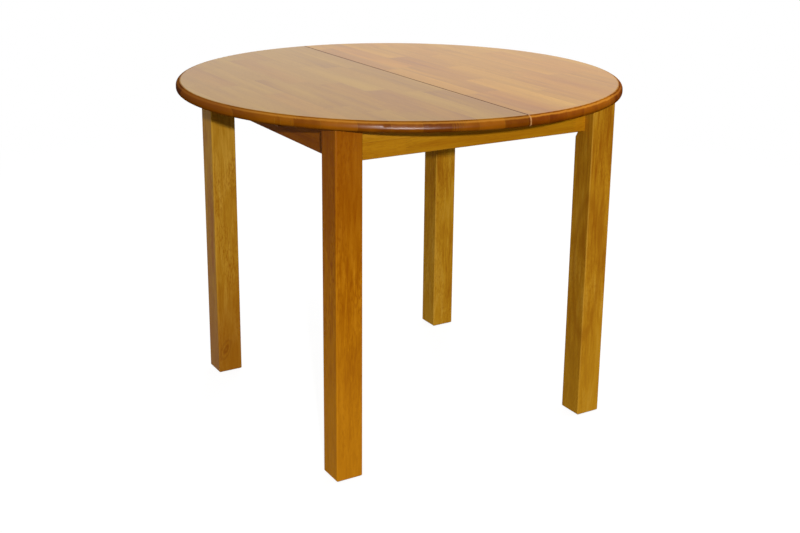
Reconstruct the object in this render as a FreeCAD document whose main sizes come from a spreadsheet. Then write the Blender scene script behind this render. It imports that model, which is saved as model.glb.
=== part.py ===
import FreeCAD, Part
import os
import re
import Sketcher

# Round dining table: a split top slides apart along X on wooden runners, over a folded leaf
# that lies on two pivot pins inside a square frame. Origin on the floor under the centre, Z up,
# the split along Y, the front of the table towards -Y.

# Driving dimensions, in millimetres
sizes = {
    # top
    "table_height": 770,
    "top_diameter": 1000,
    "top_thickness": 22,
    "top_clearance": 0.3,
    "split_gap": 0.4,
    "split_chamfer": 1.2,
    "rim_upper_radius": 11,
    "rim_lower_radius": 7,
    # legs and aprons
    "leg_width": 60,
    "leg_edge_round": 3,
    "foot_chamfer": 2,
    "leg_corner_cut": 10,
    "corner_cut_rise": 17,
    "corner_cut_below": 21,
    "leg_reveal": 10,
    "apron_thickness": 22,
    "apron_height": 75,
    "apron_edge_chamfer": 1.5,
    "glide_diameter": 24,
    "glide_thickness": 2.5,
    "glide_taper": 1.5,
    # corner blocks and their bolts
    "block_thickness": 25,
    "block_height": 34,
    "block_rise": 2.5,
    "block_leg_gap": 2.8,
    "bolt_diameter": 8,
    "bolt_fit": 0.1,
    "bolt_in_leg": 32,
    "bolt_tail": 5,
    "washer_diameter": 24,
    "washer_thickness": 1.6,
    "nut_width": 13,
    "nut_thickness": 6.5,
    # runners and the rails that they ride in
    "rail_thickness": 18,
    "rail_height": 30,
    "rail_end_gap": 1,
    "groove_width": 8,
    "groove_depth": 8,
    "groove_end": 6,
    "runner_thickness": 20,
    "runner_height": 36,
    "runner_inset": 5,
    "runner_outreach": 15,
    "runner_side_gap": 0.3,
    "tongue_length": 82.5,
    "tongue_play": 0.6,
    "rebate_side_gap": 1,
    "rebate_floor_gap": 1,
    # stop blocks under the halves
    "stop_length": 140,
    "stop_thickness": 20,
    "stop_height": 49,
    "stop_chamfer": 2,
    "stop_gap": 0.3,
    # dowels that line up the edges
    "dowel_diameter": 8,
    "dowel_fit": 0.3,
    "dowel_reach": 12,
    "dowel_depth": 16,
    "dowel_inner": 200,
    "dowel_inset": 120,
    # folded leaf
    "leaf_width_share": 0.35,
    "leaf_end_gap": 6.7,
    "leaf_recess": 16,
    "fold_gap": 0.5,
    "hinge_pivot": 8,
    "hinge_length": 44,
    "hinge_plate": 2,
    "hinge_height": 12,
    "hinge_recess": 4,
    "hinge_link_width": 10,
    "hinge_link_round_share": 0.45,
    "hinge_link_thickness": 1.8,
    "hinge_fit": 0.1,
    # leaf bearers, rest, pivots
    "bearer_width": 25,
    "bearer_height": 35,
    "bearer_rise": 1.5,
    "bearer_gap": 15,
    "bracket_thickness": 2,
    "bracket_width": 30,
    "bracket_tip": 12,
    "bracket_foot": 29,
    "bracket_shoulder": 18,
    "bracket_round": 5,
    "pin_diameter": 6,
    "pin_fit": 0.05,
    "pin_head_diameter": 10,
    "pin_head_thickness": 2,
    "lug_thickness": 2,
    "lug_inset": 1,
    "lug_base": 38,
    "lug_length": 30,
    "lug_above_pin": 6,
    "lug_round": 5,
    "lug_pin_reach": 2,
    "rest_inset": 68,
    "rest_width": 20,
    "rest_rise": 0.8,
    "felt_thickness": 0.8,
    "felt_inset": 25,
    "felt_edge": 3,
    "leaf_seat_gap": 0.3,
    # hook locks under the split
    "lock_inset": 90,
    "lock_pivot": 22,
    "lock_stud": 14,
    "lock_plate_length": 36,
    "lock_plate_width": 26,
    "lock_plate": 2,
    "lock_gap": 0.3,
    "lever_thickness": 3,
    "lever_width": 18,
    "lever_tail": 26,
    "lever_tip": 11,
    "lever_round": 4,
    "lever_fit": 0.08,
    "hook_slot": 9,
    "hook_depth": 4,
    "stud_diameter": 6,
    "stud_head_diameter": 10,
    "stud_head_thickness": 2,
    "keeper_width": 22,
}

document = FreeCAD.newDocument("Table")
sheet = document.addObject("Spreadsheet::Sheet", "Sheet")
for row, (alias, value) in enumerate(sizes.items(), start=1):
    sheet.set(f"A{row}", alias)
    sheet.set(f"B{row}", str(value))
    sheet.setAlias(f"B{row}", alias)
document.recompute()

# Levels and faces that several pieces share, as expressions on the sheet
underside = "(table_height - top_thickness)"
frameTop = f"({underside} - top_clearance)"
frameBottom = f"({frameTop} - apron_height)"
# from the folded leaf's end outwards, to the legs' outer faces
leafEnd = "(top_diameter / 4)"
leafSide = "(top_diameter * leaf_width_share / 2)"
runnerInner = f"({leafEnd} + leaf_end_gap)"
runnerOuter = f"({runnerInner} + runner_thickness)"
railInner = f"({runnerOuter} + runner_side_gap)"
apronInner = f"({railInner} + rail_thickness)"
apronOuter = f"({apronInner} + apron_thickness)"
legInner = f"({apronInner} - leg_reveal)"
legOuter = f"({legInner} + leg_width)"
runnerEnd = f"({apronInner} + runner_outreach)"
slideLevel = f"({underside} - runner_height / 2)"
boltLevel = f"({frameBottom} + block_rise + block_height / 2)"
chamferReach = f"(({legInner} * 2 + leg_corner_cut) / sqrt(2))"
blockOuter = f"({chamferReach} - block_leg_gap)"
blockInner = f"({blockOuter} - block_thickness)"
topMiddle = "(table_height - top_thickness / 2)"
dowelOuter = "(top_diameter / 2 - dowel_inset)"
lockPlace = "(top_diameter / 2 - lock_inset)"
leafTop = f"({underside} - leaf_recess)"
leafFold = f"({leafTop} - top_thickness)"
leafBottom = f"({leafFold} - fold_gap - top_thickness)"
pivotAcross = "(top_diameter / 8)"
pivotLevel = f"({underside} - leaf_recess / 2)"
bearerInner = f"({leafSide} + bearer_gap)"
bearerTop = f"({frameBottom} + bearer_rise + bearer_height)"
leverTop = f"({underside} - lock_plate - lock_gap)"
leverBottom = f"({leverTop} - lever_thickness)"

aliasWord = re.compile(r"[a-z_]+")
pieces = []


def tied(text):
    def cell(found):
        word = found.group()
        return f"Sheet.{word}" if word in sizes else word
    return aliasWord.sub(cell, text)


def bind(item, **texts):
    for name, text in texts.items():
        item.setExpression(name, tied(text))
    return item


def put(item, x="0", y="0", z="0"):
    for axis, text in (("x", x), ("y", y), ("z", z)):
        item.setExpression(f"Placement.Base.{axis}", tied(text))
    return item


def keep(item, label):
    item.Label = label
    pieces.append(item)
    return item


def turned(item, axis, degrees):
    item.Placement = FreeCAD.Placement(FreeCAD.Vector(), FreeCAD.Rotation(axis, degrees))
    return item


xAxis = FreeCAD.Vector(1, 0, 0)
yAxis = FreeCAD.Vector(0, 1, 0)
zAxis = FreeCAD.Vector(0, 0, 1)
# Turns in degrees
quarterTurn = 90
eighthTurn = quarterTurn / 2
halfTurn = quarterTurn * 2
# Radius of the ring on which a sketch's corners start, before their sizes are set
startRadius = 1.0


def newBody(label):
    return keep(document.addObject("PartDesign::Body", label), label)


def newSketch(body, role, lift="0", turn=0):
    sketch = body.newObject("Sketcher::SketchObject", "Sketch")
    plane = next(item for item in body.Origin.OriginFeatures if item.Role == role)
    sketch.AttachmentSupport = [(plane, "")]
    sketch.MapMode = "FlatFace"
    sketch.AttachmentOffset = FreeCAD.Placement(FreeCAD.Vector(), FreeCAD.Rotation(yAxis, turn))
    sketch.setExpression("AttachmentOffset.Base.z", tied(lift))
    return sketch


def fix(sketch, element, vertex, start, x, y):
    for kind, value, text in (("DistanceX", start.x, x), ("DistanceY", start.y, y)):
        number = sketch.addConstraint(Sketcher.Constraint(kind, -1, 1, element, vertex, value))
        sketch.setExpression(f"Constraints[{number}]", tied(text))


def polygon(sketch, corners):
    first = sketch.GeometryCount
    count = len(corners)
    spread = 2 * halfTurn / count
    ring = [FreeCAD.Rotation(zAxis, spread * step) * xAxis * startRadius for step in range(count)]
    for step in range(count):
        sketch.addGeometry(Part.LineSegment(ring[step], ring[(step + 1) % count]), False)
    for step in range(count):
        following = first + (step + 1) % count
        sketch.addConstraint(Sketcher.Constraint("Coincident", first + step, 2, following, 1))
    for step, (x, y) in enumerate(corners):
        fix(sketch, first + step, 1, ring[step], x, y)
    return sketch


def rectangle(sketch, left, right, low, high):
    return polygon(sketch, [(left, low), (right, low), (right, high), (left, high)])


def circle(sketch, x, y, diameter):
    element = sketch.addGeometry(Part.Circle(FreeCAD.Vector(), zAxis, startRadius), False)
    fix(sketch, element, 3, FreeCAD.Vector(), x, y)
    number = sketch.addConstraint(Sketcher.Constraint("Diameter", element, 2 * startRadius))
    sketch.setExpression(f"Constraints[{number}]", tied(diameter))
    return sketch


def pad(body, sketch, length):
    feature = body.newObject("PartDesign::Pad", "Pad")
    feature.Profile = sketch
    bind(feature, Length=length)
    document.recompute()
    return feature


def pocket(body, sketch, length, reverse=False, bothWays=False):
    before = body.Shape.Volume
    feature = body.newObject("PartDesign::Pocket", "Pocket")
    feature.Profile = sketch
    feature.Reversed = reverse
    feature.SideType = "Symmetric" if bothWays else "One side"
    bind(feature, Length=length)
    document.recompute()
    if not body.Shape.Volume < before:
        raise RuntimeError(f"{body.Label}: a pocket cuts nothing")
    return feature


nearly = 1e-6


def along(edge, axis):
    if edge.Curve.TypeId != "Part::GeomLine":
        return False
    return edge.tangentAt(edge.FirstParameter).cross(axis).Length < nearly


def level(edge, axis):
    return edge.CenterOfMass.dot(axis)


def lowest(shape, axis):
    return min(vertex.Point.dot(axis) for vertex in shape.Vertexes)


def highest(shape, axis):
    return max(vertex.Point.dot(axis) for vertex in shape.Vertexes)


def dress(body, kind, sizeName, size, test):
    base = body.Tip
    names = [f"Edge{number}" for number, edge in enumerate(base.Shape.Edges, start=1) if test(edge)]
    if not names:
        raise RuntimeError(f"{body.Label}: no edge for {kind}")
    feature = body.newObject(f"PartDesign::{kind}", kind)
    feature.Base = (base, names)
    bind(feature, **{sizeName: size})
    document.recompute()
    return feature


def group(label, members):
    compound = document.addObject("Part::Compound", label)
    compound.Links = members
    return keep(compound, label)


def solid(kind, name, **texts):
    return bind(document.addObject(f"Part::{kind}", name), **texts)


def cut(base, tool):
    result = document.addObject("Part::Cut", "Cut")
    result.Base = base
    result.Tool = tool
    return result


def fuse(label, *members):
    result = document.addObject("Part::MultiFuse", label)
    result.Shapes = list(members)
    return result


# Corners of the frame, with the turn that brings the back right one there
cornerNames = ["back_right", "back_left", "front_left", "front_right"]
corners = {name: number * quarterTurn for number, name in enumerate(cornerNames)}


# Bore along the table's diagonal, from the centre outwards
def boreDiagonal(body, reach):
    sketch = newSketch(body, "YZ_Plane", turn=eighthTurn)
    circle(sketch, "0", boltLevel, "bolt_diameter + 2 * bolt_fit")
    pocket(body, sketch, reach, reverse=True)


def leg(corner, turn):
    body = newBody(f"leg_{corner}")
    sketch = newSketch(body, "XY_Plane", lift="glide_thickness")
    rectangle(sketch, legInner, legOuter, legInner, legOuter)
    pad(body, sketch, f"{frameTop} - glide_thickness")
    dress(body, "Fillet", "Radius", "leg_edge_round", lambda edge: along(edge, zAxis))
    floor = lowest(body.Shape, zAxis)
    dress(body, "Chamfer", "Size", "foot_chamfer", lambda edge: level(edge, zAxis) < floor + nearly)
    # flat across the inner corner for the bolt, running out below the apron
    inside = f"({legInner} - leg_edge_round) * sqrt(2)"
    flat = chamferReach
    runOut = f"({legInner} * sqrt(2))"
    low = f"({frameBottom} - corner_cut_below)"
    sketch = newSketch(body, "XZ_Plane", turn=eighthTurn)
    polygon(sketch, [(inside, low), (runOut, low), (flat, f"{low} + corner_cut_rise"),
                     (flat, "table_height"), (inside, "table_height")])
    pocket(body, sketch, "leg_width", bothWays=True)
    boreDiagonal(body, f"{chamferReach} + bolt_in_leg + bolt_fit")
    turned(body, zAxis, turn)


def apron(side, turn, rebated):
    body = newBody(f"apron_{side}")
    sketch = newSketch(body, "XZ_Plane", lift=apronInner)
    if rebated:
        shelf = f"({underside} - runner_height - rebate_floor_gap)"
        step = f"({runnerInner} - rebate_side_gap)"
        polygon(sketch, [(f"-{legInner}", frameBottom), (legInner, frameBottom), (legInner, shelf),
                         (step, shelf), (step, frameTop), (f"-{step}", frameTop), (f"-{step}", shelf),
                         (f"-{legInner}", shelf)])
    else:
        rectangle(sketch, f"-{legInner}", legInner, frameBottom, frameTop)
    pad(body, sketch, "apron_thickness")
    floor = lowest(body.Shape, zAxis)
    dress(body, "Chamfer", "Size", "apron_edge_chamfer",
          lambda edge: along(edge, xAxis) and level(edge, zAxis) < floor + nearly)
    turned(body, zAxis, turn)


def cornerBlock(corner, turn):
    body = newBody(f"corner_block_{corner}")
    sketch = newSketch(body, "XY_Plane", lift=f"{frameBottom} + block_rise")
    near = f"({blockInner} * sqrt(2) - {apronInner})"
    far = f"({blockOuter} * sqrt(2) - {apronInner})"
    polygon(sketch, [(apronInner, near), (apronInner, far), (far, apronInner), (near, apronInner)])
    pad(body, sketch, "block_height")
    boreDiagonal(body, f"{blockOuter} + block_leg_gap")
    turned(body, zAxis, turn)


# Round pieces threaded on the four diagonals, at a distance from the table's centre
def onDiagonals(label, make, distance):
    members = []
    for turn in corners.values():
        angle = turn + eighthTurn
        item = make()
        item.Placement.Rotation = FreeCAD.Rotation(zAxis, angle) * FreeCAD.Rotation(yAxis, quarterTurn)
        put(item, f"{distance} * cos({angle})", f"{distance} * sin({angle})", boltLevel)
        members.append(item)
    group(label, members)


def bored(outer, height):
    bore = solid("Cylinder", "Bore", Radius="bolt_diameter / 2 + bolt_fit", Height=height)
    return cut(outer, bore)


def hangerBolts():
    washerInner = f"({blockInner} - washer_thickness)"
    nutInner = f"({washerInner} - nut_thickness)"
    boltInner = f"({nutInner} - bolt_tail)"
    boltLength = f"{chamferReach} + bolt_in_leg - {boltInner}"

    def bolt():
        return solid("Cylinder", "Bolt", Radius="bolt_diameter / 2", Height=boltLength)

    def washer():
        disc = solid("Cylinder", "Washer", Radius="washer_diameter / 2", Height="washer_thickness")
        return bored(disc, "washer_thickness")

    def nut():
        prism = solid("Prism", "Nut", Circumradius="nut_width / sqrt(3)", Height="nut_thickness")
        return bored(prism, "nut_thickness")
    onDiagonals("hanger_bolts", bolt, boltInner)
    onDiagonals("bolt_washers", washer, washerInner)
    onDiagonals("bolt_nuts", nut, nutInner)


def footGlides():
    members = []
    for across in (-1, 1):
        for deep in (-1, 1):
            glide = solid("Cone", "Glide", Radius1="glide_diameter / 2 - glide_taper",
                          Radius2="glide_diameter / 2", Height="glide_thickness")
            middle = f"({legInner} + {legOuter}) / 2"
            members.append(put(glide, f"{across} * {middle}", f"{deep} * {middle}"))
    group("foot_glides", members)


def slideRail(side, turn):
    body = newBody(f"slide_rail_{side}")
    end = f"({legInner} - rail_end_gap)"
    sketch = newSketch(body, "XZ_Plane", lift=railInner)
    rectangle(sketch, f"-{end}", end, f"{slideLevel} - rail_height / 2", f"{slideLevel} + rail_height / 2")
    pad(body, sketch, "rail_thickness")
    sketch = newSketch(body, "XZ_Plane", lift=railInner)
    stop = f"({end} - groove_end)"
    rectangle(sketch, f"-{stop}", stop,
              f"{slideLevel} - groove_width / 2", f"{slideLevel} + groove_width / 2")
    pocket(body, sketch, "groove_depth", reverse=True)
    turned(body, zAxis, turn)


# The left front runner, turned over or round to its other three places
def runner(label, axis, degrees):
    body = newBody(label)
    sketch = newSketch(body, "XZ_Plane", lift=runnerInner)
    rectangle(sketch, f"-{runnerEnd}", "-runner_inset", f"{slideLevel} - runner_height / 2", underside)
    pad(body, sketch, "runner_thickness")
    sketch = newSketch(body, "XZ_Plane", lift=runnerOuter)
    half = "(groove_width - tongue_play) / 2"
    rectangle(sketch, "-runner_inset - tongue_length", "-runner_inset",
              f"{slideLevel} - {half}", f"{slideLevel} + {half}")
    pad(body, sketch, "runner_side_gap + groove_depth - tongue_play")
    turned(body, axis, degrees)
    if axis != zAxis:
        body.setExpression("Placement.Base.z", tied(f"2 * {slideLevel}"))


# Half disc turned from the rim's section, with dowel holes in its straight edge
def topHalf(side, direction):
    body = newBody(f"top_{side}")
    sketch = newSketch(body, "XZ_Plane")
    rectangle(sketch, "0", "top_diameter / 2", underside, "table_height")
    feature = body.newObject("PartDesign::Revolution", "Revolution")
    feature.Profile = sketch
    feature.ReferenceAxis = (sketch, ["V_Axis"])
    feature.Angle = halfTurn
    document.recompute()
    middle = level(body.Shape, zAxis)

    def rim(edge):
        return edge.Curve.TypeId == "Part::GeomCircle"
    dress(body, "Fillet", "Radius", "rim_upper_radius",
          lambda edge: rim(edge) and level(edge, zAxis) > middle)
    floor = lowest(body.Shape, zAxis)
    dress(body, "Fillet", "Radius", "rim_lower_radius",
          lambda edge: rim(edge) and level(edge, zAxis) < floor + nearly)
    # eased arrises along the split
    sketch = newSketch(body, "YZ_Plane")
    for face, sign in (("table_height", "-"), (underside, "+")):
        polygon(sketch, [("0", face), ("split_chamfer", face), ("0", f"{face} {sign} split_chamfer")])
    pocket(body, sketch, "top_diameter", bothWays=True)
    sketch = newSketch(body, "XZ_Plane")
    for place in ("dowel_inner", dowelOuter):
        for sign in ("", "-"):
            circle(sketch, f"{sign}{place}", topMiddle, "dowel_diameter + 2 * dowel_fit")
    pocket(body, sketch, "dowel_depth")
    turned(body, zAxis, -quarterTurn * direction)
    body.setExpression("Placement.Base.x", tied(f"{direction} * split_gap / 2"))


# Dowels along X, standing out of an edge at x = start, glued in on the other side
def dowels(label, start, places):
    members = []
    for y, z in places:
        dowel = solid("Cylinder", "Dowel", Radius="dowel_diameter / 2", Height="dowel_depth + dowel_reach")
        dowel.Placement.Rotation = FreeCAD.Rotation(yAxis, quarterTurn)
        members.append(put(dowel, f"{start} - dowel_depth", y, z))
    group(label, members)


def stopBlock(side, turn):
    body = newBody(f"stop_block_{side}")
    sketch = newSketch(body, "XY_Plane", lift=f"{underside} - stop_height")
    near = f"({apronOuter} + stop_gap)"
    rectangle(sketch, near, f"{near} + stop_thickness", "-stop_length / 2", "stop_length / 2")
    pad(body, sketch, "stop_height")
    floor = lowest(body.Shape, zAxis)
    inner = lowest(body.Shape, xAxis)
    dress(body, "Chamfer", "Size", "stop_chamfer",
          lambda edge: level(edge, zAxis) < floor + nearly and level(edge, xAxis) > inner + nearly)
    turned(body, zAxis, turn)


# Places along the stored leaf that meet the dowels of the open top
leafDowelPlaces = [f"dowel_inner - {leafEnd}", f"{dowelOuter} - {leafEnd}"]


# One half of the leaf, with its shaped end to the back and its show face against the other half
def leafHalf(label, low, high, face, inward):
    body = newBody(label)
    sketch = newSketch(body, "YZ_Plane", lift=f"-{leafSide}")
    rectangle(sketch, f"-{leafEnd}", leafEnd, low, high)
    pad(body, sketch, f"2 * {leafSide}")
    middle = level(body.Shape, zAxis)

    def shaped(edge, sign):
        return along(edge, xAxis) and level(edge, yAxis) > 0 and sign * (level(edge, zAxis) - middle) > 0
    dress(body, "Fillet", "Radius", "rim_upper_radius", lambda edge: shaped(edge, -inward))
    tip = highest(body.Shape, yAxis)
    dress(body, "Fillet", "Radius", "rim_lower_radius",
          lambda edge: shaped(edge, inward) and level(edge, yAxis) > tip - nearly)
    for edgeSide in (-1, 1):
        sketch = newSketch(body, "YZ_Plane", lift=f"{edgeSide} * {leafSide}")
        for y in leafDowelPlaces:
            circle(sketch, y, f"({low} + {high}) / 2", "dowel_diameter + 2 * dowel_fit")
        pocket(body, sketch, "dowel_depth", reverse=edgeSide < 0)
        sketch = newSketch(body, "YZ_Plane", lift=f"{edgeSide} * {leafSide}")
        deep = f"({face} + {inward} * (hinge_pivot + hinge_height / 2 + hinge_fit))"
        rectangle(sketch, f"-{leafEnd}", f"-{leafEnd} + hinge_length + hinge_fit", face, deep)
        pocket(body, sketch, "hinge_recess", reverse=edgeSide < 0)


# Let-in hinge at the fold, one on each long edge: a plate in each half and a link across both
def leafHinges():
    plates = []
    links = []
    for edgeSide in (-1, 1):
        floor = f"({leafSide} - hinge_recess)"
        start = floor if edgeSide > 0 else f"-{floor} - hinge_plate"
        for face, inward in ((leafFold, 1), (f"{leafFold} - fold_gap", -1)):
            plate = solid("Box", "HingePlate", Length="hinge_plate", Width="hinge_length",
                          Height="hinge_height")
            low = f"{face} + {inward} * hinge_pivot - hinge_height / 2"
            plates.append(put(plate, start, f"-{leafEnd}", low))
        body = document.addObject("PartDesign::Body", "HingeLink")
        near = f"({floor} + hinge_plate)"
        lift = near if edgeSide > 0 else f"-{near} - hinge_link_thickness"
        sketch = newSketch(body, "YZ_Plane", lift=lift)
        middle = f"(-{leafEnd} + hinge_pivot)"
        reach = "(hinge_pivot + hinge_link_width / 2)"
        rectangle(sketch, f"{middle} - hinge_link_width / 2", f"{middle} + hinge_link_width / 2",
                  f"{leafFold} - fold_gap - {reach}", f"{leafFold} + {reach}")
        pad(body, sketch, "hinge_link_thickness")
        dress(body, "Fillet", "Radius", "hinge_link_width * hinge_link_round_share",
              lambda edge: along(edge, xAxis))
        links.append(body)
    group("leaf_hinge_plates", plates)
    group("leaf_hinge_links", links)


# Angle plate under the leaf whose upright lug turns on the pin
def pivotLug(side, sign):
    body = newBody(f"pivot_lug_{side}")
    outer = f"({leafSide} - lug_inset)"
    inner = f"({outer} - lug_base)"
    top = f"({pivotLevel} + lug_above_pin)"
    sketch = newSketch(body, "XZ_Plane", lift=f"{pivotAcross} - lug_length / 2")
    polygon(sketch, [(f"{sign} * {x}", z) for x, z in (
        (inner, leafTop), (outer, leafTop), (outer, top), (f"({outer} - lug_thickness)", top),
        (f"({outer} - lug_thickness)", f"{leafTop} + lug_thickness"), (inner, f"{leafTop} + lug_thickness"))])
    pad(body, sketch, "lug_length")
    peak = highest(body.Shape, zAxis)
    dress(body, "Fillet", "Radius", "lug_round",
          lambda edge: along(edge, xAxis) and level(edge, zAxis) > peak - nearly)
    sketch = newSketch(body, "YZ_Plane")
    circle(sketch, f"-{pivotAcross}", pivotLevel, "pin_diameter + 2 * pin_fit")
    pocket(body, sketch, leafSide, reverse=sign > 0)


# Upright plate on the bearer that holds the pin
def pivotBracket(side, sign):
    body = newBody(f"pivot_bracket_{side}")
    inner = f"({bearerInner} - bracket_thickness)"
    lift = inner if sign > 0 else f"-{bearerInner}"
    sketch = newSketch(body, "YZ_Plane", lift=lift)
    foot = f"({bearerTop} - bracket_foot)"
    top = f"({pivotLevel} + bracket_tip / 2)"
    shoulder = f"({pivotLevel} - bracket_shoulder)"
    half = "bracket_width / 2"
    tip = "bracket_tip / 2"
    polygon(sketch, [(f"-{pivotAcross} {shift}", z) for shift, z in (
        (f"- {half}", foot), (f"+ {half}", foot), (f"+ {half}", shoulder), (f"+ {tip}", top),
        (f"- {tip}", top), (f"- {half}", shoulder))])
    pad(body, sketch, "bracket_thickness")
    peak = highest(body.Shape, zAxis)
    dress(body, "Fillet", "Radius", "bracket_round",
          lambda edge: along(edge, xAxis) and level(edge, zAxis) > peak - nearly)
    sketch = newSketch(body, "YZ_Plane")
    circle(sketch, f"-{pivotAcross}", pivotLevel, "pin_diameter")
    pocket(body, sketch, bearerInner, reverse=sign > 0)


def pivotPin(side, sign):
    start = f"({leafSide} - lug_inset - lug_thickness - lug_pin_reach)"
    shank = solid("Cylinder", "Shank", Radius="pin_diameter / 2", Height=f"{bearerInner} - {start}")
    head = solid("Cylinder", "Head", Radius="pin_head_diameter / 2", Height="pin_head_thickness")
    for item, place in ((shank, start), (head, bearerInner)):
        item.Placement.Rotation = FreeCAD.Rotation(yAxis, quarterTurn * sign)
        put(item, f"{sign} * {place}", f"-{pivotAcross}", pivotLevel)
    keep(fuse("Pin", shank, head), f"pivot_pin_{side}")


def bearer(side, sign):
    item = solid("Box", "Bearer", Length="bearer_width", Width=f"2 * {apronInner}", Height="bearer_height")
    near = bearerInner if sign > 0 else f"-{bearerInner} - bearer_width"
    put(item, near, f"-{apronInner}", f"{frameBottom} + bearer_rise")
    keep(item, f"leaf_bearer_{side}")


# Cross batten under the leaf's far end, with a felt strip
def leafRest():
    low = f"({frameBottom} + rest_rise)"
    top = f"({leafBottom} - leaf_seat_gap - felt_thickness)"
    batten = solid("Box", "Rest", Length=f"2 * {bearerInner}", Width="rest_width", Height=f"{top} - {low}")
    put(batten, f"-{bearerInner}", f"{leafEnd} - rest_inset - rest_width / 2", low)
    keep(batten, "leaf_rest")
    felt = solid("Box", "Felt", Length=f"2 * ({bearerInner} - felt_inset)",
                 Width="rest_width - 2 * felt_edge", Height="felt_thickness")
    put(felt, f"-{bearerInner} + felt_inset", f"{leafEnd} - rest_inset - rest_width / 2 + felt_edge", top)
    keep(felt, "leaf_rest_felt")


# Flat hook lever on a plate under the left half, and the stud that it catches under the right half
def lock(side, sign):
    row = f"{sign} * {lockPlace}"
    body = newBody(f"lock_plate_{side}")
    sketch = newSketch(body, "XY_Plane", lift=f"{underside} - lock_plate")
    rectangle(sketch, "-lock_pivot - lock_plate_length / 2", "-lock_pivot + lock_plate_length / 2",
              f"{row} - lock_plate_width / 2", f"{row} + lock_plate_width / 2")
    circle(sketch, "-lock_pivot", row, "stud_diameter")
    pad(body, sketch, "lock_plate")
    dress(body, "Fillet", "Radius", "lever_round", lambda edge: along(edge, zAxis))

    shank = solid("Cylinder", "Shank", Radius="stud_diameter / 2",
                  Height=f"{underside} - {leverBottom} + lock_gap")
    head = solid("Cylinder", "Head", Radius="stud_head_diameter / 2", Height="stud_head_thickness")
    put(shank, "-lock_pivot", row, f"{leverBottom} - lock_gap")
    put(head, "-lock_pivot", row, f"{leverBottom} - lock_gap - stud_head_thickness")
    keep(fuse("Rivet", shank, head), f"lock_rivet_{side}")

    body = newBody(f"lock_lever_{side}")
    reach = "(lock_pivot + lock_stud)"
    sketch = newSketch(body, "XY_Plane", lift=leverBottom)
    slotNear = f"{reach} - hook_slot / 2"
    slotFar = f"{reach} + hook_slot / 2"
    # at rest the lever points away from the frame, with the hook's mouth towards +X
    shape = [("lever_width / 2", "-lever_tail"), ("lever_width / 2", f"{reach} + lever_tip"),
             ("-lever_width / 2", f"{reach} + lever_tip"), ("-lever_width / 2", slotFar),
             ("hook_depth", slotFar), ("hook_depth", slotNear), ("-lever_width / 2", slotNear),
             ("-lever_width / 2", "-lever_tail")]
    polygon(sketch, [(f"-lock_pivot - ({x})", f"{row} + {sign} * ({y})") for x, y in shape])
    circle(sketch, "-lock_pivot", row, "stud_diameter + 2 * lever_fit")
    pad(body, sketch, "lever_thickness")
    ends = (lowest(body.Shape, yAxis), highest(body.Shape, yAxis))
    dress(body, "Fillet", "Radius", "lever_round",
          lambda edge: along(edge, zAxis) and min(abs(level(edge, yAxis) - end) for end in ends) < nearly)

    plate = solid("Box", "Plate", Length="keeper_width", Width="keeper_width", Height="lock_plate")
    put(plate, "lock_stud - keeper_width / 2 + split_gap", f"{row} - keeper_width / 2",
        f"{underside} - lock_plate")
    stud = solid("Cylinder", "Stud", Radius="stud_diameter / 2",
                 Height=f"{underside} - lock_plate - {leverBottom} + lock_gap")
    put(stud, "lock_stud", row, f"{leverBottom} - lock_gap")
    head = solid("Cylinder", "Head", Radius="stud_head_diameter / 2", Height="stud_head_thickness")
    put(head, "lock_stud", row, f"{leverBottom} - lock_gap - stud_head_thickness")
    keep(fuse("Keeper", plate, stud, head), f"lock_keeper_{side}")


for corner, turn in corners.items():
    leg(corner, turn)
    cornerBlock(corner, turn)
hangerBolts()
footGlides()
for number, side in enumerate(("front", "right", "back", "left")):
    apron(side, number * quarterTurn, rebated=side in ("left", "right"))
slideRail("front", 0)
slideRail("back", halfTurn)
runner("runner_left_front", zAxis, 0)
runner("runner_right_back", zAxis, halfTurn)
runner("runner_left_back", xAxis, halfTurn)
runner("runner_right_front", yAxis, halfTurn)
topHalf("left", -1)
topHalf("right", 1)
dowels("top_dowels", "-split_gap / 2",
       [(f"{sign}{place}", topMiddle) for place in ("dowel_inner", dowelOuter) for sign in ("", "-")])
stopBlock("right", 0)
stopBlock("left", halfTurn)
leafHalf("leaf_upper", leafFold, leafTop, leafFold, 1)
leafHalf("leaf_lower", leafBottom, f"({leafFold} - fold_gap)", f"({leafFold} - fold_gap)", -1)
dowels("leaf_dowels", leafSide,
       [(place, f"({low} + top_thickness / 2)")
        for place in leafDowelPlaces for low in (leafFold, leafBottom)])
leafHinges()
leafRest()
for side, sign in (("left", -1), ("right", 1)):
    bearer(side, sign)
    pivotBracket(side, sign)
    pivotPin(side, sign)
    pivotLug(side, sign)
for side, sign in (("front", -1), ("back", 1)):
    lock(side, sign)
document.recompute()

for item in document.Objects:
    if "Invalid" in item.State or "Error" in item.State:
        raise RuntimeError(f"{item.Label}: {item.State}")
for piece in pieces:
    if piece.Shape.isNull() or not piece.Shape.isValid() or not piece.Shape.Solids:
        raise RuntimeError(f"{piece.Label}: no sound solid")
os.makedirs("parts", exist_ok=True)
for piece in pieces:
    piece.Shape.exportStep(f"parts/{piece.Label}.step")
    box = piece.Shape.BoundBox
    ends = [box.XMin, box.XMax, box.YMin, box.YMax, box.ZMin, box.ZMax]
    print(piece.Label, len(piece.Shape.Solids), [round(value, 1) for value in ends])
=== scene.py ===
import bmesh
import bpy
import math
from mathutils import Matrix, Vector


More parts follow.
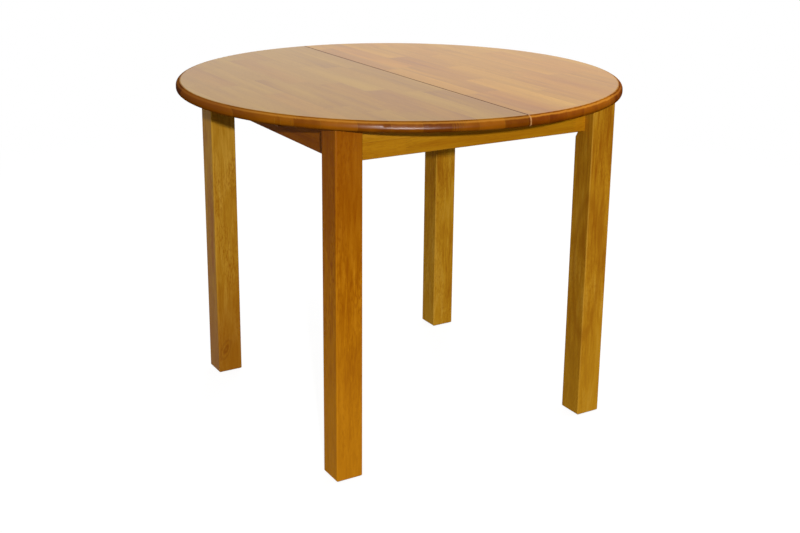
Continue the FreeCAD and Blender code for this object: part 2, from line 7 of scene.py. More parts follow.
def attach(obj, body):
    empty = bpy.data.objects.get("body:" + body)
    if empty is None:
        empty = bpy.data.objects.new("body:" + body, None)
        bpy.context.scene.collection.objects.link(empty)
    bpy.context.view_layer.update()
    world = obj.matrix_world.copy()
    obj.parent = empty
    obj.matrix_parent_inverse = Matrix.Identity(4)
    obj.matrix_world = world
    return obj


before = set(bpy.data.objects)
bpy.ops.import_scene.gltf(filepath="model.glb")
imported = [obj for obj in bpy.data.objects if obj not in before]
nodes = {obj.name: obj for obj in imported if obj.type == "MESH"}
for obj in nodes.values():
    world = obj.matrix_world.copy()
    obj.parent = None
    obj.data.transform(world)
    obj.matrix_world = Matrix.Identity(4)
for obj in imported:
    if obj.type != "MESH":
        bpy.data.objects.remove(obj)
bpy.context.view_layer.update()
print("table loaded:", len(nodes), "pieces")

white = (1, 1, 1)


def srgb(*parts):
    return tuple((p / 255 / 12.92) if p <= 10 else ((p / 255 + 0.055) / 1.055) ** 2.4 for p in parts)


class Wire:  # one output socket, so that shader maths reads as plain expressions
    def __init__(self, bench, socket):
        self.bench = bench
        self.socket = socket

    def __add__(self, other):
        return self.bench.maths("ADD", self, other)

    def __sub__(self, other):
        return self.bench.maths("SUBTRACT", self, other)

    def __rsub__(self, other):
        return self.bench.maths("SUBTRACT", other, self)

    def __mul__(self, other):
        return self.bench.maths("MULTIPLY", self, other)

    def __truediv__(self, other):
        return self.bench.maths("DIVIDE", self, other)

    def __pow__(self, other):
        return self.bench.maths("POWER", self, other)

    __radd__ = __add__
    __rmul__ = __mul__


class Bench:  # one node tree and the nodes laid out on it
    def __init__(self, name, tree=None):
        if tree is None:
            self.material = bpy.data.materials.new(name)
            self.material.use_nodes = True
            tree = self.material.node_tree
        self.tree = tree
        tree.nodes.clear()

    def feed(self, socket, value):
        if isinstance(value, Wire):
            self.tree.links.new(value.socket, socket)
        elif isinstance(value, (tuple, list)) and len(value) == 3 and socket.type == "RGBA":
            socket.default_value = (*value, 1)
        else:
            socket.default_value = value

    def node(self, kind, settings=None, sockets=None, out=0):
        made = self.tree.nodes.new("ShaderNode" + kind)
        for key, value in (settings or {}).items():
            if key == "stops":
                ramp = made.color_ramp.elements
                while len(ramp) < len(value):
                    ramp.new(1)
                for stop, (place, shade) in zip(ramp, value):
                    stop.position = place
                    stop.color = (*shade, 1)
            else:
                setattr(made, key, value)
        for key, value in (sockets or {}).items():
            self.feed(made.inputs[key], value)
        return Wire(self, made.outputs[out]) if made.outputs else None

    def maths(self, operation, *values):
        return self.node("Math", {"operation": operation}, dict(enumerate(values)))

    def floor(self, value):
        return self.maths("FLOOR", value)

    def size(self, value):
        return self.maths("ABSOLUTE", value)

    def least(self, first, second):
        return self.maths("MINIMUM", first, second)

    def most(self, first, second):
        return self.maths("MAXIMUM", first, second)

    def fade(self, value, start, end):  # 0 before start, 1 past end
        return self.node("MapRange", {"interpolation_type": "SMOOTHSTEP"},
                         {"Value": value, "From Min": start, "From Max": end})

    def point(self, x, y, z):
        return self.node("CombineXYZ", None, {"X": x, "Y": y, "Z": z})

    def split(self, vector):
        return [self.node("SeparateXYZ", None, {"Vector": vector}, out=axis) for axis in range(3)]

    def place(self):
        return self.split(self.node("TexCoord", out="Object"))

    def facing(self):
        return self.split(self.node("TexCoord", out="Normal"))

    def noise(self, where, detail=2.0, rough=0.5, twist=0.0):
        return self.node("TexNoise", None, {"Vector": where, "Scale": 1.0, "Detail": detail,
                                            "Roughness": rough, "Distortion": twist})

    def grit(self, scales, **settings):  # noise over the whole piece, with a scale for each axis
        where = self.point(*[part * scale for part, scale in zip(self.place(), scales)])
        return self.noise(where, **settings)

    def chance(self, where):
        return self.node("TexWhiteNoise", None, {"Vector": where})

    def blend(self, factor, first, second, mode="MIX"):
        return self.node("Mix", {"data_type": "RGBA", "blend_type": mode},
                         {0: factor, 6: first, 7: second}, out=2)

    def tinted(self, colour, tint):
        return self.blend(1.0, colour, tint, "MULTIPLY")

    def bump(self, height, distance, strength):
        return self.node("Bump", None, {"Height": height, "Distance": distance, "Strength": strength})

    def seen(self):  # 1 for rays from the camera, by mirrors and glass too
        camera, glossy, through = [self.node("LightPath", out=f"Is {kind} Ray")
                                   for kind in ("Camera", "Glossy", "Transmission")]
        return self.most(camera, self.most(glossy, through))

    def principled(self, sockets):
        return self.node("BsdfPrincipled", None, sockets)

    def mixed(self, factor, first, second):
        return self.node("MixShader", None, {0: factor, 1: first, 2: second})

    def finish(self, shader):
        self.node("OutputMaterial", None, {"Surface": shader})
        return self.material


# honey-stained rubberwood, glued up from finger-jointed staves
honeyStain = {
    "light": srgb(208, 150, 42),
    "middle": srgb(188, 127, 16),
    "dark": srgb(152, 86, 5),
    "endGrain": srgb(112, 48, 3),
    "endAmount": 0.6,
    "edgeStain": srgb(178, 94, 4),
    # colour of the painted highlight along the rim's upper edge
    "edgeRub": srgb(226, 150, 52),
    "edgeAmount": 0.0,
    "rubAmount": 0.65,
    "rim": None,
    "pieceLength": 0.34,
    "tintSpread": 0.20,
    "edgeTintSpread": 0.7,
    "redTint": (1.0, 0.86, 0.62),
    "redAmount": 0.55,
    "streakAmount": 0.60,
    "streakFine": 70,
    "streakAlong": 3.2,
    "streakTwist": 0.0,
    "broadAmount": 0.75,
    "figureAlong": 1.6,
    "figureAcross": 16,
    "fibreAmount": 0.25,
    "poreAmount": 0.35,
    "fleckAmount": 0.30,
    "fleckFine": 1.0,
    "seamAmount": 0.45,
    "fingerPitch": 0.005,
    "fingerDepth": 0.011,
    "grainHeight": 0.00012,
}
bareWood = dict(honeyStain, light=srgb(222, 192, 146), middle=srgb(208, 172, 122), dark=srgb(178, 136, 88),
                endGrain=srgb(168, 126, 82), poreAmount=0.3, tintSpread=0.22, grainHeight=0.0002)
# how marks lie in every wood: pairs of scales go along and across the board, fades from none to full
grain = {
    "laneStart": 0.13, "layerStart": 0.31, "laneSeed": 3.7, "hueSeed": 5.2, "laneShift": 9.0,
    "pieceShift": (37.0, 11.0), "broadTwist": 0.4, "streakRough": 0.62,
    "fibre": (22, 640), "pore": (75, 1300), "poreFade": (0.60, 0.72),
    "speck": (70, 240), "speckFade": (0.46, 0.66), "speckZone": (5, 14), "zoneFade": (0.36, 0.62),
    "toneStops": (0.16, 0.5, 0.86), "redFade": (0.45, 1.0), "endSharpness": 3.0,
    "laneLine": (0.0001, 0.0007), "laneLineAmount": 0.6, "endLine": (0.0002, 0.0011),
    "fibreHeight": 0.5, "streakHeight": 0.5, "poreHeight": -0.6, "seamHeight": -0.5,
    "streakGloss": 0.08, "poreGloss": 0.06,
}
# where a shaped edge takes stain, where a painted highlight lies along it, what counts as flat and as looking
# up
edgeBand = {
    "stained": (0.002, 0.06), "highlightFrom": (0.50, 0.74), "highlightTo": (0.80, 0.92), "uneven": 0.25,
    "flat": (0.0005, 0.004), "upward": (-0.15, 0.10),
}
roundRim = {"upright": (0.755, 0.759), "upperRadius": 0.011, "lowerRadius": 0.007, "reach": (0.483, 0.487)}


def grainAxes(bench, along):  # along the grain, across the staves, through the layers
    x, y, z = bench.place()
    half = math.sqrt(0.5)
    if along == "rising":  # corner blocks lie across a diagonal
        return (x + y) * half, z, (x - y) * half
    if along == "falling":
        return (x - y) * half, z, (x + y) * half
    return {"x": (x, z, y), "y": (y, x, z), "z": (z, x, y)}[along]


def facingShare(bench, axis):
    return bench.size(bench.facing()["xyz".index(axis)])


def edgeSlope(bench, rim):  # 1 on the flats and 0 on the upright, and whether the wood looks up
    level = facingShare(bench, "z")
    if rim is None:
        return level, bench.fade(bench.facing()[2], *edgeBand["upward"])
    x, y, z = bench.place()
    low, high = rim["upright"]
    above = (z - high) / rim["upperRadius"]
    below = (low - z) / rim["lowerRadius"]
    turned = bench.most(bench.most(above, below), 0.0)
    atRim = bench.fade((x * x + y * y) ** 0.5, *rim["reach"])
    return level * (1.0 - atRim) + turned * atRim, bench.fade(z, low, high)


def woodLook(name, look, along, staveWidth, layerWidth, sheen, touchUp=None):
    bench = Bench(name)
    u, v, w = grainAxes(bench, along)
    # staves side by side, each made of pieces that meet in fingers
    atLane = v / staveWidth + grain["laneStart"]
    lane = bench.floor(atLane)
    layer = bench.floor(w / layerWidth + grain["layerStart"])
    laneChance = bench.chance(bench.point(lane, layer, grain["laneSeed"]))
    zigzag = bench.maths("PINGPONG", v, look["fingerPitch"] / 2)
    finger = zigzag * (look["fingerDepth"] / look["fingerPitch"] * 2)
    run = (u + finger) / look["pieceLength"] + laneChance * grain["laneShift"]
    block = bench.floor(run)
    pick = bench.chance(bench.point(lane, block, layer))
    pickHue = bench.chance(bench.point(block, layer + grain["hueSeed"], lane))
    shiftU, shiftV = [pick * reach for reach in grain["pieceShift"]]

    def drawn(scales, shifts=(shiftU, shiftV), **settings):  # noise that starts afresh in every piece
        lengthways, crossways = scales
        where = bench.point(u * lengthways + shifts[0], v * crossways + shifts[1], w * crossways)
        return bench.noise(where, **settings)

    broad = drawn((look["figureAlong"], look["figureAcross"]), twist=grain["broadTwist"])
    streak = drawn((look["streakAlong"], look["streakFine"]), detail=4.0, rough=grain["streakRough"],
                   twist=look["streakTwist"])
    fibre = drawn(grain["fibre"])
    speckZone = bench.fade(drawn(grain["speckZone"], (shiftV, shiftU), detail=1.0), *grain["zoneFade"])
    specks = drawn([scale * look["fleckFine"] for scale in grain["speck"]], detail=3.0)
    fleck = bench.fade(specks, *grain["speckFade"]) * speckZone
    pore = bench.fade(drawn(grain["pore"], detail=1.0), *grain["poreFade"])
    tone = 0.5 + (streak - 0.5) * look["streakAmount"] + (broad - 0.5) * look["broadAmount"]
    tone = tone + (fibre - 0.5) * look["fibreAmount"]
    tint = pick - 0.5
    slope, upward = edgeSlope(bench, look["rim"])
    shaped = bench.fade(1.0 - slope, *edgeBand["stained"]) * look["edgeAmount"]  # takes more stain
    tone = tone + tint * look["tintSpread"] + tint * shaped * look["edgeTintSpread"]
    stops = list(zip(grain["toneStops"], (look["dark"], look["middle"], look["light"])))
    colour = bench.node("ValToRGB", {"stops": stops}, {"Fac": tone})
    redder = bench.tinted(colour, look["redTint"])
    colour = bench.blend(bench.fade(pickHue, *grain["redFade"]) * look["redAmount"], colour, redder)
    colour = bench.blend(pore * look["poreAmount"], colour, look["dark"])
    colour = bench.blend(fleck * look["fleckAmount"], colour, look["dark"])
    if along in "xyz":
        cut = facingShare(bench, along) ** grain["endSharpness"]
        colour = bench.blend(cut * look["endAmount"], colour, look["endGrain"])
    if look["edgeAmount"]:
        colour = bench.blend(shaped, colour, bench.blend(tone, look["endGrain"], look["edgeStain"]))
        uneven = slope + (streak - 0.5) * edgeBand["uneven"]
        paintedHighlight = bench.fade(uneven, *edgeBand["highlightFrom"])  # painted highlight over the upper edge, in place of a lamp's reflection
        paintedHighlight = paintedHighlight * (1.0 - bench.fade(uneven, *edgeBand["highlightTo"])) * upward
        colour = bench.blend(paintedHighlight * look["edgeAmount"] * look["rubAmount"], colour, look["edgeRub"])
    # hair lines where staves and fingers meet
    across = bench.maths("FRACT", atLane)
    laneLine = 1.0 - bench.fade(bench.least(across, 1.0 - across) * staveWidth, *grain["laneLine"])
    length = run - block
    endLine = 1.0 - bench.fade(bench.least(length, 1.0 - length) * look["pieceLength"], *grain["endLine"])
    seam = bench.most(laneLine * grain["laneLineAmount"], endLine)
    seamStain = bench.blend(shaped, look["endGrain"], look["light"])
    colour = bench.blend(seam * look["seamAmount"], colour, seamStain)
    if touchUp is not None:
        colour = touchUp(bench, colour, look, shaped)
    height = fibre * grain["fibreHeight"] + streak * grain["streakHeight"]
    height = height + pore * grain["poreHeight"] + seam * grain["seamHeight"]
    gloss = sheen["rough"] + (streak - 0.5) * grain["streakGloss"] + pore * grain["poreGloss"]
    surface = bench.principled({
        "Base Color": colour, "Roughness": gloss, "Specular IOR Level": sheen["specular"],
        "Normal": bench.bump(height, look["grainHeight"], sheen["relief"]),
    })
    if sheen["veil"]:  # lacquer greys the flat at a low angle of sight
        veil = bench.principled({"Base Color": white, "Metallic": 1.0, "Roughness": sheen["veilRough"]})
        level = 1.0 - bench.fade(1.0 - slope, *edgeBand["flat"])
        glance = bench.node("Fresnel", None, {"IOR": sheen["ior"]}) * level * sheen["veil"]
        surface = bench.mixed(glance, surface, veil)
    if look["edgeAmount"]:  # the rim is rubbed smoother than the flat, and gleams on its upper side
        smooth = gloss + (sheen["edgeRough"] - sheen["rough"])
        rim = bench.principled({"Base Color": colour, "Roughness": smooth, "Specular IOR Level": 0.0})
        shine = bench.principled({"Base Color": white, "Metallic": 1.0, "Roughness": smooth})
        rim = bench.mixed(upward * sheen["edgeGleam"], rim, shine)
        surface = bench.mixed(shaped / look["edgeAmount"], surface, rim)
    return bench.finish(surface)


glossLacquer = {"rough": 0.45, "specular": 0.05, "veil": 0.52, "veilRough": 0.75, "ior": 1.5,
                "edgeRough": 0.34, "edgeGleam": 0.006, "relief": 0.25}
satinLacquer = {"rough": 0.44, "specular": 0.012, "veil": 0.0, "relief": 0.35}
wetLacquer = dict(satinLacquer, specular=0.04)
planedOnly = {"rough": 0.62, "specular": 0.20, "veil": 0.0, "relief": 0.8}

# paler upright corners: wear, and a painted highlight along the arris
legCornerWearAndHighlight = {"middle": 0.315, "worn": (0.0265, 0.029), "wearAndHighlightAmount": 0.45, "patch": (60, 60, 14),
              "wornUneven": 0.002, "driftUneven": 0.1}


def thinCorners(bench, colour, look, shaped):  # stain rubs thin on the four upright corners of a leg, with a painted highlight along them
    x, y, z = bench.place()
    fromX, fromY = [bench.size(bench.size(part) - legCornerWearAndHighlight["middle"]) for part in (x, y)]
    patch = bench.grit(legCornerWearAndHighlight["patch"]) - 0.5
    corner = bench.least(fromX, fromY) + patch * legCornerWearAndHighlight["wornUneven"]
    # wear and painted highlight on the corners
    worn = bench.fade(corner, *legCornerWearAndHighlight["worn"]) * legCornerWearAndHighlight["wearAndHighlightAmount"]
    colour = bench.blend(worn, colour, look["light"])
    level = z + patch * legCornerWearAndHighlight["driftUneven"]
    for shade, amount, start, end in look["drift"]:  # one end of a board is paler or darker than the rest; on the front left leg this is painted shade
        colour = bench.blend(bench.fade(level, start, end) * amount, colour, look[shade])
    for swirl in look["swirls"]:  # growth rings bend round a knot
        atX, atY, atZ = swirl["place"]
        gapX = x - atX
        gapY = y - atY
        gapZ = (z - atZ - gapX * swirl["lean"]) * swirl["squash"]
        away = (gapX * gapX + gapY * gapY + gapZ * gapZ) ** 0.5 + patch * swirl["waver"]
        inner, full, outer = swirl["reach"]
        ring = bench.maths("SINE", away * (2 * math.pi / swirl["pitch"])) * 0.5 + 0.5
        share = bench.fade(away, inner, full) * (1.0 - bench.fade(away, full, outer)) * swirl["amount"]
        colour = bench.blend(ring * share, colour, look[swirl["shade"]])
    return colour


# the split's dark line is filler and painted shade of the gap, paler where worn at the rim
splitLine = {"close": (0.0009, 0.0022), "eased": (0.85, 0.97), "ends": (0.488, 0.490), "amount": 0.95,
             "fillerAndShade": srgb(52, 22, 6), "worn": srgb(206, 150, 92)}
# painted shade at the rim's two ends, where it turns away from the light
rimEndShade = {"acrossX": -0.86, "acrossY": 0.51, "left": (0.25, 0.38), "right": (0.43, 0.48),
           "tint": (0.58, 0.44, 0.4)}
leftHalfShade = (0.77, 0.81, 0.90)  # painted shade: the left half is darkened, as the light falls off towards the left


def darkSplit(bench, colour, look, shaped):  # filler and painted shade of the gap darken the split's edges, worn off at its ends; painted shade on the left half and the rim's ends
    x, y, z = bench.place()
    # painted shade over the whole left half
    colour = bench.blend(bench.maths("LESS_THAN", x, 0.0), colour, bench.tinted(colour, leftHalfShade))
    # painted shade: the rim darkens towards its left and right ends
    ends = x * rimEndShade["acrossX"] + y * rimEndShade["acrossY"]
    endShade = bench.most(bench.fade(ends, *rimEndShade["left"]), bench.fade(ends * -1.0, *rimEndShade["right"]))
    colour = bench.blend(endShade * shaped, colour, bench.tinted(colour, rimEndShade["tint"]))
    # dark filler and painted shade of the gap on the split's eased edges
    eased = 1.0 - bench.fade(facingShare(bench, "x"), *splitLine["eased"])
    close = (1.0 - bench.fade(bench.size(x), *splitLine["close"])) * eased
    atRim = bench.fade(bench.size(y), *splitLine["ends"])
    stain = bench.blend(atRim, splitLine["fillerAndShade"], splitLine["worn"])
    return bench.blend(close * splitLine["amount"], colour, stain)


topStock = dict(honeyStain, light=srgb(204, 153, 44), middle=srgb(184, 128, 17), dark=srgb(150, 88, 5),
                tintSpread=0.18, streakAmount=0.50, broadAmount=0.80, fleckAmount=0.2, seamAmount=0.35,
                edgeAmount=0.85, rim=roundRim)
leafStock = dict(honeyStain, edgeAmount=0.6)
apronStock = dict(honeyStain, pieceLength=0.42, middle=srgb(190, 132, 18))
# painted shade: the side aprons take darker colours for the shade under the top's overhang
sideShadedStock = dict(honeyStain, pieceLength=0.42, light=srgb(178, 108, 14), middle=srgb(156, 88, 6),
                 dark=srgb(124, 60, 2))
railStock = dict(bareWood, pieceLength=0.6)
legStock = dict(honeyStain, light=srgb(206, 158, 58), middle=srgb(187, 134, 28), dark=srgb(154, 94, 12),
                pieceLength=40,  # far longer than a leg, so it has no fingers
                tintSpread=0.10, broadAmount=0.95, figureAlong=4.5, figureAcross=13,
                streakAmount=0.95, streakFine=130, streakAlong=13, streakTwist=0.5,
                fleckAmount=0.5, fleckFine=1.4, drift=[], swirls=[])
footKnot = {"place": (-0.326, 0.285, 0.062), "squash": 0.8, "lean": 0.9, "waver": 0.026,
            "reach": (-1, 0, 0.034), "pitch": 0.012, "amount": 0.5, "shade": "endGrain"}
tallArch = {"place": (0.283, -0.345, 0.36), "squash": 0.26, "lean": 0.0, "waver": 0.006,
            "reach": (0.020, 0.036, 0.060), "pitch": 0.019, "amount": 0.6, "shade": "dark"}
fleckedStock = dict(legStock, middle=srgb(178, 127, 30), foot=srgb(140, 76, 6), fleckAmount=0.75,
                    drift=[("foot", 0.65, 0.36, 0.06)], swirls=[footKnot])
# painted shade on the front left leg: darker towards the top under the table top, paler towards the floor
redShadedStock = dict(legStock, light=srgb(198, 130, 22), middle=srgb(176, 108, 8), dark=srgb(142, 72, 3),
                streakAmount=1.25, fleckAmount=0.7, fleckFine=1.0,
                drift=[("light", 0.5, 0.46, 0.12), ("dark", 0.6, 0.42, 0.60)])
archStock = dict(legStock, drift=[("middle", 0.4, 0.30, 0.10)], swirls=[tallArch])
woodRows = {  # stock, way of the grain, widths of a stave and a layer, finish, touch-up
    "topWood": (topStock, "y", 0.052, 0.20, glossLacquer, darkSplit),
    "legWood": (legStock, "z", 0.2, 0.3, satinLacquer, thinCorners),
    "legWoodFlecked": (fleckedStock, "z", 0.2, 0.3, wetLacquer, thinCorners),
    "legWoodRedShaded": (redShadedStock, "z", 0.2, 0.3, satinLacquer, thinCorners),
    "legWoodArch": (archStock, "z", 0.2, 0.3, satinLacquer, thinCorners),
    "apronWoodX": (apronStock, "x", 0.0375, 0.10, satinLacquer),
    "apronWoodYShaded": (sideShadedStock, "y", 0.10, 0.0375, satinLacquer),
    "leafWood": (leafStock, "y", 0.052, 0.022, glossLacquer),
    "bareWoodX": (railStock, "x", 0.2, 0.2, planedOnly),
    "bareWoodY": (railStock, "y", 0.2, 0.2, planedOnly),
    "blockWoodRising": (bareWood, "rising", 0.2, 0.2, planedOnly),
    "blockWoodFalling": (bareWood, "falling", 0.2, 0.2, planedOnly),
}
woods = {name: woodLook(name, *row) for name, row in woodRows.items()}
print("woods ready:", len(woods))

metalWear = {"cloud": (90, 90, 90), "scratch": (2600, 140, 2600), "spangle": 420.0, "cloudShare": 0.7,
             "tone": (0.35, 0.68), "scratchGloss": 0.2, "dullGloss": 0.1, "scratchHeight": 0.6,
             "spangleHeight": 0.4, "depth": 0.00002, "relief": 0.5}
zincPlate = dict(metalWear, bright=srgb(206, 206, 200), dull=srgb(150, 150, 146), rough=0.34)
satinBrass = dict(metalWear, bright=srgb(224, 190, 112), dull=srgb(158, 118, 56), rough=0.30)
footPlastic = {"body": srgb(70, 50, 34), "scuff": srgb(108, 90, 72), "scuffs": (500, 160, 500),
               "scuffFade": (0.54, 0.72), "scuffGloss": 0.15, "pebbles": (2200, 2200, 2200), "rough": 0.5,
               "depth": 0.00004, "relief": 0.5}
padFelt = {"fleece": srgb(92, 98, 84), "shadow": srgb(50, 54, 46), "tufts": (900, 900, 900), "tuftRough": 0.7,
           "tuftTwist": 1.2, "tuftFade": (0.3, 0.7), "rough": 0.95, "fuzz": 0.5, "fuzzRough": 0.6,
           "specular": 0.1, "depth": 0.0004, "relief": 0.8}


def metalLook(name, look):
    bench = Bench(name)
    cloud = bench.grit(look["cloud"], detail=3.0)
    scratch = bench.grit(look["scratch"])
    where = bench.node("TexCoord", out="Object")
    spangle = bench.node("TexVoronoi", None, {"Vector": where, "Scale": look["spangle"]})
    tone = bench.fade(cloud * look["cloudShare"] + scratch * (1 - look["cloudShare"]), *look["tone"])
    height = scratch * look["scratchHeight"] + spangle * look["spangleHeight"]
    return bench.finish(bench.principled({
        "Base Color": bench.blend(tone, look["dull"], look["bright"]), "Metallic": 1.0,
        "Roughness": look["rough"] + (scratch - 0.5) * look["scratchGloss"] + (1 - tone) * look["dullGloss"],
        "Normal": bench.bump(height, look["depth"], look["relief"]),
    }))


def plasticLook(name, look):
    bench = Bench(name)
    scuff = bench.fade(bench.grit(look["scuffs"], detail=4.0), *look["scuffFade"])
    return bench.finish(bench.principled({
        "Base Color": bench.blend(scuff, look["body"], look["scuff"]),
        "Roughness": look["rough"] + scuff * look["scuffGloss"],
        "Normal": bench.bump(bench.grit(look["pebbles"]), look["depth"], look["relief"]),
    }))


def feltLook(name, look):
    bench = Bench(name)
    tuft = bench.grit(look["tufts"], detail=4.0, rough=look["tuftRough"], twist=look["tuftTwist"])
    return bench.finish(bench.principled({
        "Base Color": bench.blend(bench.fade(tuft, *look["tuftFade"]), look["shadow"], look["fleece"]),
        "Roughness": look["rough"], "Sheen Weight": look["fuzz"], "Sheen Roughness": look["fuzzRough"],
        "Specular IOR Level": look["specular"], "Normal": bench.bump(tuft, look["depth"], look["relief"]),
    }))


zinc = metalLook("zincPlate", zincPlate)
brass = metalLook("satinBrass", satinBrass)
finishes = {  # by the start of a piece's name; the first row that fits counts
    "top_left": woods["topWood"],
    "top_right": woods["topWood"],
    "leg_front_left": woods["legWoodRedShaded"],
    "leg_back_left": woods["legWoodFlecked"],
    "leg_front_right": woods["legWoodArch"],
    "leg_back_right": woods["legWood"],
    "apron_front": woods["apronWoodX"],
    "apron_back": woods["apronWoodX"],
    "apron": woods["apronWoodYShaded"],
    "stop_block": woods["apronWoodYShaded"],
    "leaf_upper": woods["leafWood"],
    "leaf_lower": woods["leafWood"],
    "corner_block_back_right": woods["blockWoodFalling"],
    "corner_block_front_left": woods["blockWoodFalling"],
    "corner_block": woods["blockWoodRising"],
    "leaf_rest_felt": feltLook("restFelt", padFelt),
    "leaf_rest": woods["bareWoodX"],
    "slide_rail": woods["bareWoodX"],
    "runner": woods["bareWoodX"],
    "top_dowels": woods["bareWoodX"],
    "leaf_dowels": woods["bareWoodX"],
    "leaf_bearer": woods["bareWoodY"],
    "leaf_hinge": brass,
    "foot_glides": plasticLook("glidePlastic", footPlastic),
    "": zinc,  # all the other fittings
}
for name, node in nodes.items():
    look = next(finish for start, finish in finishes.items() if name.startswith(start))
    node.data.materials.clear()
    node.data.materials.append(look)
print("finishes on:", len(nodes), "pieces")

# screw heads in the fittings: places in metres, the axis points out of the wood
screwHead = {
    "sides": 28, "turn": 0.7,  # radians from one screw to the next
    "tip": 0.6, "sink": 0.9, "bevel": 0.12,  # of the radius, like the arms of the recess
    "armReach": 0.62, "armWidth": 0.17, "armDepth": 0.42,
    "bevelDrop": 0.5, "pitShare": 0.7,  # of the bevel and of the recess's mouth
}
blockScrew = {"apart": 0.0245, "level": 0.6922}
bracketScrew = {"x": 0.188, "y": -0.125, "apart": 0.009, "level": 0.6955}
runnerScrew = {"x": (0.06, 0.16, 0.28), "y": 0.2667, "level": 0.712}
stopScrew = {"x": 0.3273, "y": 0.045, "level": 0.699}
lockScrew = {"x": -0.022, "y": 0.41, "apartX": 0.0145, "apartY": 0.0095, "level": 0.746}
keeperScrew = {"x": 0.0144, "y": 0.41, "apartX": 0.0078, "apartY": 0.0078, "level": 0.746}
lugScrew = {"x": (0.145, 0.160), "y": -0.125, "level": 0.734}
sides = (-1, 1)
up = (0, 0, 1)
down = (0, 0, -1)


def addScrew(bm, place, axis, radius, proud, turn):
    facing = Vector(axis).normalized().to_track_quat("Z", "Y").to_matrix().to_4x4()
    seat = Matrix.Translation(place) @ facing @ Matrix.Rotation(turn, 4, "Z")
    steps = [2 * math.pi * k / screwHead["sides"] for k in range(screwHead["sides"])]
    bevel = radius * screwHead["bevel"]

    def corner(x, y, height):
        return bm.verts.new(seat @ Vector((x, y, height)))

    def ring(reach, height):
        return [corner(reach * math.cos(a), reach * math.sin(a), height) for a in steps]

    def cross(share, height):
        arm = radius * screwHead["armReach"] * share
        half = radius * screwHead["armWidth"] * share
        quarter = [(arm, -half), (arm, half), (half, half)]
        outline = []
        for k in range(4):
            c = round(math.cos(k * math.pi / 2))
            s = round(math.sin(k * math.pi / 2))
            outline += [corner(c * x - s * y, s * x + c * y, height) for x, y in quarter]
        return outline

    def skirt(lower, upper):
        for k in range(len(lower)):
            after = (k + 1) % len(lower)
            bm.faces.new((lower[k], lower[after], upper[after], upper[k]))

    base = ring(radius * screwHead["tip"], -radius * screwHead["sink"])
    edge = ring(radius, proud - bevel * screwHead["bevelDrop"])
    crown = ring(radius - bevel, proud)
    mouth = cross(1.0, proud)
    pit = cross(screwHead["pitShare"], proud - radius * screwHead["armDepth"])
    bm.faces.new(base[::-1])
    skirt(base, edge)
    skirt(edge, crown)
    skirt(pit, mouth)
    bm.faces.new(pit)
    border = [bm.edges.get((loop[k - 1], loop[k])) for loop in (crown, mouth) for k in range(len(loop))]
    bmesh.ops.triangle_fill(bm, use_beauty=True, edges=border)


def blockSpots():  # two screws beside the bolt on the slanting face of each corner block
    spots = []
    for sideX in sides:
        for sideY in sides:
            inward = Vector((-sideX, -sideY, 0)).normalized()
            along = Vector((-inward.y, inward.x, 0))
            corner = ("front" if sideY < 0 else "back") + ("_left" if sideX < 0 else "_right")
            block = nodes["corner_block_" + corner]
            face = max((block.matrix_world @ v.co).dot(inward) for v in block.data.vertices)
            middle = inward * face + Vector((0, 0, blockScrew["level"]))
            spots += [(middle + along * (side * blockScrew["apart"]), inward) for side in sides]
    return spots


def bracketSpots():
    return [((s * bracketScrew["x"], bracketScrew["y"] + b * bracketScrew["apart"], bracketScrew["level"]),
             (-s, 0, 0)) for s in sides for b in sides]


def halfSpots(side):  # up through the runners and the stop block of one half
    runners = [((side * x, s * runnerScrew["y"], runnerScrew["level"]), down)
               for x in runnerScrew["x"] for s in sides]
    return runners + [((side * stopScrew["x"], s * stopScrew["y"], stopScrew["level"]), down) for s in sides]


def plateSpots(spec):  # four in each plate, front and back
    return [((spec["x"] + a * spec["apartX"], s * (spec["y"] + b * spec["apartY"]), spec["level"]), down)
            for s in sides for a in sides for b in sides]


def lugSpots():
    return [((s * x, lugScrew["y"], lugScrew["level"]), up) for s in sides for x in lugScrew["x"]]


screwSets = {
    "frameScrews": {"body": "frame", "spots": blockSpots() + bracketSpots(), "radius": 0.0035,
                    "proud": 0.0009},
    "leftScrews": {"body": "left_half", "spots": halfSpots(-1), "radius": 0.0036, "proud": 0.0001},
    "rightScrews": {"body": "right_half", "spots": halfSpots(1), "radius": 0.0036, "proud": 0.0001},
    "lockScrews": {"body": "left_half", "spots": plateSpots(lockScrew), "radius": 0.0022, "proud": 0.0001},
    "keeperScrews": {"body": "right_half", "spots": plateSpots(keeperScrew), "radius": 0.0022,
                     "proud": 0.0001},
    "leafScrews": {"body": "leaf", "spots": lugSpots(), "radius": 0.0022, "proud": 0.0006},
}
for setName, group in screwSets.items():
    bm = bmesh.new()
    for count, (place, axis) in enumerate(group["spots"]):
        addScrew(bm, place, axis, group["radius"], group["proud"], screwHead["turn"] * count)
    bmesh.ops.recalc_face_normals(bm, faces=bm.faces)
    mesh = bpy.data.meshes.new(setName)
    bm.to_mesh(mesh)
    bm.free()
    mesh.materials.append(zinc)
    piece = bpy.data.objects.new(setName, mesh)
    bpy.context.scene.collection.objects.link(piece)
    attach(piece, group["body"])
print("screws in:", sum(len(group["spots"]) for group in screwSets.values()))

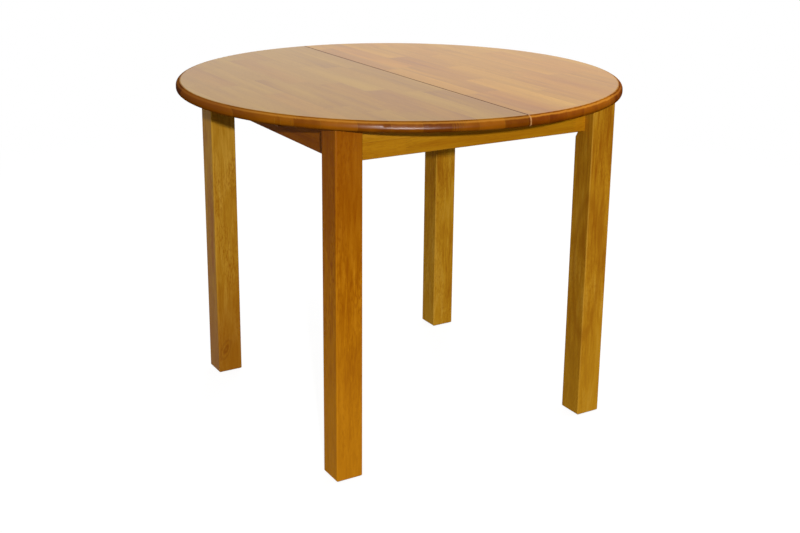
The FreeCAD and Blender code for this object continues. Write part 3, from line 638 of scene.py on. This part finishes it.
# studio: pale floor, white surround, a far key lamp behind the camera and weaker lamps round about
studioFloor = {"radius": 40.0, "segments": 96, "drop": -0.0002, "paint": srgb(112, 112, 112), "glow": 0.91,
               "clear": (0.9, 3.0)}
surround = {"light": 0.42, "white": 1.0}
lamps = {
    "key": {"place": (-3.68, -7.88, 3.04), "aim": (0, 0, 0.45), "size": 0.2, "power": 540},
    "sparkle": {"place": (-1.95, -3.88, 0.759), "aim": (-0.247, -0.435, 0.759), "size": 0.02, "power": 2.0,
                "spread": 6, "gleamOnly": True},  # a highlight on the rim's front and nothing else
    "right": {"place": (4.2, -1.2, 1.6), "aim": (0, 0, 0.6), "size": 0.8, "power": 22},
    "overhead": {"place": (0.85, -0.45, 2.30), "aim": (0.1, 0, 0.77), "size": 0.5, "power": 9},
    "behind": {"place": (1.9, 3.2, 1.5), "aim": (0, 0, 0.4), "size": 2.0, "power": 48},
}


def makeFloor(look):
    bm = bmesh.new()
    bmesh.ops.create_circle(bm, cap_ends=True, radius=look["radius"], segments=look["segments"])
    mesh = bpy.data.meshes.new("studioFloor")
    bm.to_mesh(mesh)
    bm.free()
    floor = bpy.data.objects.new("studioFloor", mesh)
    floor.location.z = look["drop"]
    bpy.context.scene.collection.objects.link(floor)
    bench = Bench("floorPaint")
    shown = bench.seen()
    paint = bench.node("BsdfDiffuse", None, {"Color": look["paint"]})
    glow = bench.node("Emission", None, {"Color": white, "Strength": shown * look["glow"]})
    near = bench.node("AddShader", None, {0: paint, 1: glow})
    far = bench.node("Emission", None, {"Color": white, "Strength": shown})
    x, y, z = bench.place()
    away = bench.fade((x * x + y * y) ** 0.5, *look["clear"])  # far floor runs out to white
    mesh.materials.append(bench.finish(bench.mixed(away, near, far)))


def makeSurround(look):
    world = bpy.data.worlds.new("studio")
    world.use_nodes = True
    bpy.context.scene.world = world
    bench = Bench("studio", world.node_tree)
    level = bench.seen() * (look["white"] - look["light"]) + look["light"]
    glow = bench.node("Background", None, {"Color": white, "Strength": level})
    bench.node("OutputWorld", None, {"Surface": glow})


def makeLamp(name, lamp):
    gleamOnly = lamp.get("gleamOnly", False)
    light = bpy.data.lights.new(name, "AREA")
    light.shape = "DISK"
    light.size = lamp["size"]
    light.energy = lamp["power"]
    light.spread = math.radians(lamp.get("spread", 180))
    holder = bpy.data.objects.new(name, light)
    holder.location = lamp["place"]
    holder.visible_glossy = gleamOnly
    holder.visible_diffuse = not gleamOnly
    if gleamOnly:
        light.cycles.max_bounces = 0
    aim = Vector(lamp["aim"]) - holder.location
    holder.rotation_euler = aim.to_track_quat("-Z", "Y").to_euler()
    bpy.context.scene.collection.objects.link(holder)


makeFloor(studioFloor)
makeSurround(surround)
for lampName, lamp in lamps.items():
    makeLamp(lampName, lamp)
print("studio ready:", len(lamps), "lamps")

photoCamera = {  # angles in degrees; focal length, middle and frame in pixels of the photo
    "place": (-1.37262, -2.31647, 1.24631), "turn": -31.0878, "tilt": 15.7345, "roll": 0.6674,
    "focal": 1197.98, "middle": (407.32, 195.0), "frame": (800, 533), "sensor": 36.0,
}


def makeCamera(spec):
    turn, tilt, roll = [math.radians(spec[angle]) for angle in ("turn", "tilt", "roll")]
    back = Vector((math.sin(turn) * math.cos(tilt), -math.cos(turn) * math.cos(tilt), math.sin(tilt)))
    level = (-back).cross(Vector(up)).normalized()
    upright = level.cross(-back)
    rolledRight = level * math.cos(roll) + upright * math.sin(roll)
    rolledUp = upright * math.cos(roll) - level * math.sin(roll)
    wide, high = spec["frame"]
    middleX, middleY = spec["middle"]
    data = bpy.data.cameras.new("photoCamera")
    data.sensor_width = spec["sensor"]
    data.lens = spec["focal"] / wide * spec["sensor"]
    data.shift_x = (wide / 2 - middleX) / wide
    data.shift_y = (middleY - high / 2) / wide
    camera = bpy.data.objects.new("photoCamera", data)
    facing = Matrix((rolledRight, rolledUp, back)).transposed().to_4x4()
    camera.matrix_world = Matrix.Translation(spec["place"]) @ facing
    bpy.context.scene.collection.objects.link(camera)
    bpy.context.scene.camera = camera


makeCamera(photoCamera)
bpy.context.scene.view_settings.view_transform = "Standard"
